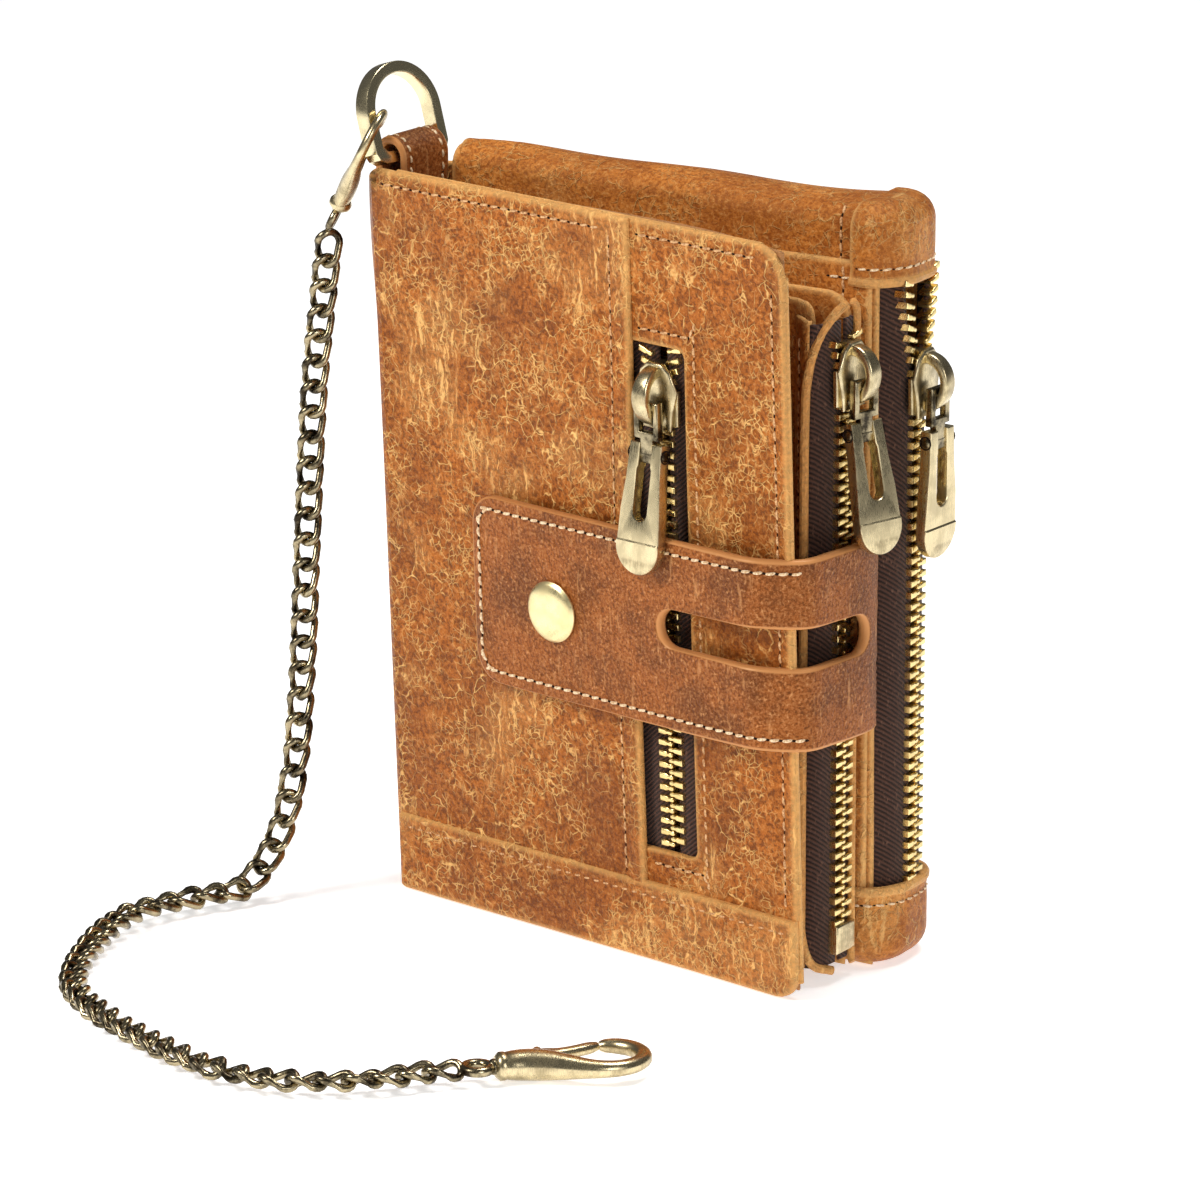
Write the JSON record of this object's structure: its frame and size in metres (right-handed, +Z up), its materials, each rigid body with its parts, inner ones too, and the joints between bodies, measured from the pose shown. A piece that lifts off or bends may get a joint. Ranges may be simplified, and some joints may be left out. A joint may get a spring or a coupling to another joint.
{
  "type": "chain wallet",
  "caption": "Standing leather bifold wallet with zip pockets, a snap strap over the cover, and a chain with a lobster clasp at each end held by a ring.",
  "frame": {"origin": "below the middle of the wallet's outline, on the surface it stands on, leaving out the chain and its clasps", "axes": "+Z up, +X from the spine to the free edges, the front cover faces -Y"},
  "size_m": [0.1266, 0.1195, 0.1399],
  "materials": {
    "tan_leather": "distressed",
    "strap_leather": "grained",
    "zip_tape": "twill",
    "zip_teeth": "polished",
    "antique_brass": "brushed antique",
    "dark_brass": "antique",
    "snap_brass": "satin"
  },
  "bodies": {
    "back_leaf": {"back_wall": "tan_leather", "back_front_wall": "tan_leather", "back_top_gusset": "tan_leather", "back_bottom_gusset": "tan_leather", "slip_panel": "tan_leather", "back_top_cap": "tan_leather", "back_bottom_cap": "tan_leather", "back_tape_front": "zip_tape", "back_tape_rear": "zip_tape", "back_teeth_front": "zip_teeth", "back_teeth_rear": "zip_teeth", "spine": "tan_leather", "ring_loop": "strap_leather", "chain": "dark_brass", "large_clasp_body": "antique_brass"},
    "page": {"page_rear_wall": "tan_leather", "page_front_wall": "tan_leather", "page_bottom_gusset": "tan_leather", "page_binding": "tan_leather", "card_slot_low": "tan_leather", "card_slot_mid": "tan_leather", "card_slot_high": "tan_leather", "page_tape_front": "zip_tape", "page_tape_rear": "zip_tape", "page_teeth_front": "zip_teeth", "page_teeth_rear": "zip_teeth", "page_stop": "antique_brass", "strap_root": "strap_leather"},
    "front_cover": {"cover_left_panel": "tan_leather", "cover_right_panel": "tan_leather", "cover_band": "tan_leather", "cover_lining": "tan_leather", "cover_tape_left": "zip_tape", "cover_tape_right": "zip_tape", "cover_teeth_left": "zip_teeth", "cover_teeth_right": "zip_teeth", "snap_stud": "antique_brass"},
    "strap": {"strap": "strap_leather", "snap_cap": "snap_brass"},
    "front_zip_slider": {"front_slider": "antique_brass"},
    "front_zip_link": {"front_link": "antique_brass"},
    "front_zip_tab": {"front_tab": "antique_brass", "front_pin": "dark_brass"},
    "page_zip_slider": {"page_slider": "antique_brass"},
    "page_zip_link": {"page_link": "antique_brass"},
    "page_zip_tab": {"page_tab": "antique_brass", "page_pin": "dark_brass"},
    "back_zip_slider": {"back_slider": "antique_brass"},
    "back_zip_link": {"back_link": "antique_brass"},
    "back_zip_tab": {"back_tab": "antique_brass", "back_pin": "dark_brass"},
    "ring": {"ring": "antique_brass", "small_clasp_body": "antique_brass"},
    "small_clasp_lever": {"small_clasp_trigger": "antique_brass"},
    "small_clasp_eye": {"small_clasp_swivel": "dark_brass"},
    "large_clasp_lever": {"large_clasp_trigger": "antique_brass"},
    "large_clasp_eye": {"large_clasp_swivel": "dark_brass"}
  },
  "joints": [
    {"name": "cover_open", "type": "hinge", "parent": "back_leaf", "child": "front_cover", "pos_m": [-0.04709, 0.00019, 0], "axis": [0, 0, -1], "range_deg": [-1, 65], "deforming": ["spine", "strap", "snap_cap"]},
    {"name": "page_turn", "type": "hinge", "parent": "back_leaf", "child": "page", "pos_m": [-0.0431, 0.0085, 0], "axis": [0, 0, -1], "range_deg": [-0.5, 32.5]},
    {"name": "strap_open", "type": "hinge", "parent": "page", "child": "strap", "pos_m": [0.0413, 0.0019, 0], "axis": [0, 0, 1], "range_deg": [0, 110]},
    {"name": "front_zip_run", "type": "slide", "parent": "front_cover", "child": "front_zip_slider", "axis": [-0.0102, -0.0424, 0.999], "range_m": [-0.07, 0.002]},
    {"name": "front_link_swing", "type": "hinge", "parent": "front_zip_slider", "child": "front_zip_link", "pos_m": [0.012, -0.01586, 0.09473], "axis": [-0.9724, 0.2334, 0], "range_deg": [0, 110]},
    {"name": "front_tab_swing", "type": "hinge", "parent": "front_zip_link", "child": "front_zip_tab", "pos_m": [0.01208, -0.01552, 0.08673], "axis": [-0.9724, 0.2334, 0], "range_deg": [0, 60]},
    {"name": "page_zip_run", "type": "slide", "parent": "page", "child": "page_zip_slider", "axis": [0, 0, 1], "range_m": [-0.084, 0.001]},
    {"name": "page_link_swing", "type": "hinge", "parent": "page_zip_slider", "child": "page_zip_link", "pos_m": [0.04331, -0.00227, 0.0992], "axis": [-0.319, -0.9478, 0], "range_deg": [0, 110]},
    {"name": "page_tab_swing", "type": "hinge", "parent": "page_zip_link", "child": "page_zip_tab", "pos_m": [0.04331, -0.00227, 0.0912], "axis": [-0.319, -0.9478, 0], "range_deg": [0, 60]},
    {"name": "back_zip_run", "type": "slide", "parent": "back_leaf", "child": "back_zip_slider", "axis": [0, 0, 1], "range_m": [-0.076, 0.01]},
    {"name": "back_link_swing", "type": "hinge", "parent": "back_zip_slider", "child": "back_zip_link", "pos_m": [0.0482, 0.0137, 0.0952], "axis": [-0.1045, -0.9945, 0], "range_deg": [0, 110]},
    {"name": "back_tab_swing", "type": "hinge", "parent": "back_zip_link", "child": "back_zip_tab", "pos_m": [0.0482, 0.0137, 0.0872], "axis": [-0.1045, -0.9945, 0], "range_deg": [0, 60]},
    {"name": "ring_swing", "type": "hinge", "parent": "back_leaf", "child": "ring", "pos_m": [-0.04568, 0.00734, 0.1249], "axis": [0.2419, 0.9703, 0], "range_deg": [-22, 40], "deforming": ["chain"]},
    {"name": "small_clasp_press", "type": "hinge", "parent": "ring", "child": "small_clasp_lever", "pos_m": [-0.05312, 0.00304, 0.1218], "axis": [0.8341, 0.3292, -0.4426], "range_deg": [0, 18], "stiffness_Nm_per_rad": 0.01, "springref_deg": -17.19},
    {"name": "small_clasp_turn", "type": "hinge", "parent": "ring", "child": "small_clasp_eye", "pos_m": [-0.0559, 0.00255, 0.1162], "axis": [0.5113, -0.1602, 0.8443], "continuous": true},
    {"name": "large_clasp_press", "type": "hinge", "parent": "back_leaf", "child": "large_clasp_lever", "pos_m": [0.02129, -0.06529, 0.0027], "axis": [0, 0, -1], "range_deg": [0, 18], "stiffness_Nm_per_rad": 0.01, "springref_deg": -17.19},
    {"name": "large_clasp_turn", "type": "hinge", "parent": "back_leaf", "child": "large_clasp_eye", "pos_m": [0.0172, -0.0718, 0.0027], "axis": [0.7266, 0.6871, 0], "continuous": true}
  ],
  "couplings": [
    {"joint": "page_turn", "follows": "cover_open", "ratio": 0.5}
  ]
}
